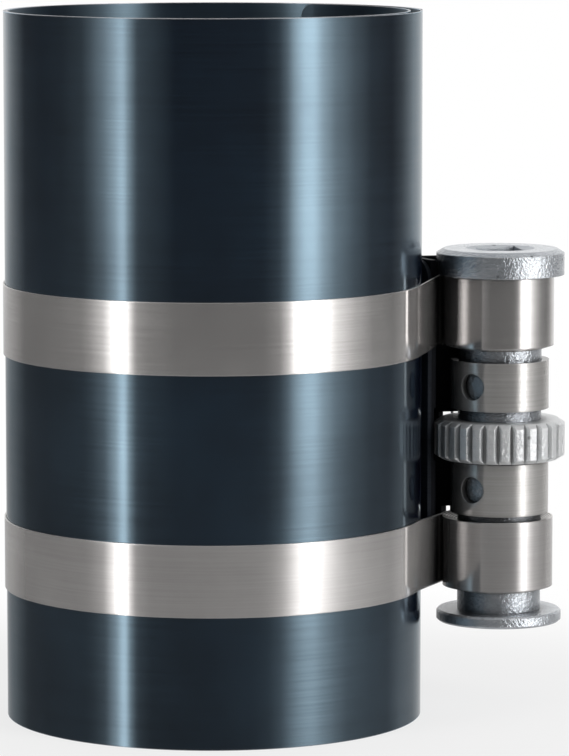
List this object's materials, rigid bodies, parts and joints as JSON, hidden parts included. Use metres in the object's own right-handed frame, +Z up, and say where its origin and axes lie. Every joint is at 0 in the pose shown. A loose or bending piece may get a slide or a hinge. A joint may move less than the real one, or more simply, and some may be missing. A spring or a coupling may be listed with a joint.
{
  "type": "piston ring compressor",
  "caption": "Coiled spring steel sleeve that steel bands and a ratchet spindle draw in, to squeeze an engine piston's rings while the piston is pushed into its bore.",
  "frame": {"origin": "middle of the sleeve's lower rim, on the sleeve's axis", "axes": "+Z up along the sleeve's axis; +X towards the side that carries the ratchet spindle, 11.7 degrees short of it; +Y to the back"},
  "size_m": [0.0802, 0.0602, 0.1],
  "materials": {
    "blued_sheet": "blued spring steel with a fine horizontal grain",
    "blued_plate": "dark blued steel plate",
    "band_steel": "bright spring steel band, fine lengthwise grain",
    "nickel_plate": "nickel plated sheet steel, satin",
    "zinc_plate": "bright zinc plate with a bluish tone",
    "pawl_steel": "zinc plated steel",
    "rivet_steel": "plain steel",
    "spring_steel": "drawn spring wire"
  },
  "bodies": {
    "sleeve_body": {"sleeve": "blued_sheet", "anchor_plate": "blued_plate", "lower_band": "band_steel", "upper_band": "band_steel", "housing_bracket": "nickel_plate", "lower_foot_rivet": "rivet_steel", "upper_foot_rivet": "rivet_steel", "band_rivet_1": "rivet_steel", "band_rivet_2": "rivet_steel", "band_rivet_3": "rivet_steel", "band_rivet_4": "rivet_steel", "pawl_pin": "rivet_steel", "pawl_spring": "spring_steel"},
    "spindle_body": {"spindle": "zinc_plate", "lower_flange": "zinc_plate", "ratchet_wheel": "zinc_plate"},
    "pawl_body": {"pawl": "pawl_steel"}
  },
  "joints": [
    {"name": "spindle_turn", "type": "hinge", "parent": "sleeve_body", "child": "spindle_body", "pos_m": [0.04103, 0.0085, 0.06565], "axis": [0, 0, 1], "range_deg": [0, 2160], "deforming": ["lower_band", "upper_band"]},
    {"name": "pawl_lift", "type": "hinge", "parent": "sleeve_body", "child": "pawl_body", "pos_m": [0.03029, 0.01597, 0.038], "axis": [0, 0, 1], "range_deg": [0, 20], "stiffness_Nm_per_rad": 0.01, "springref_deg": -17.19, "deforming": ["pawl_spring"]}
  ]
}
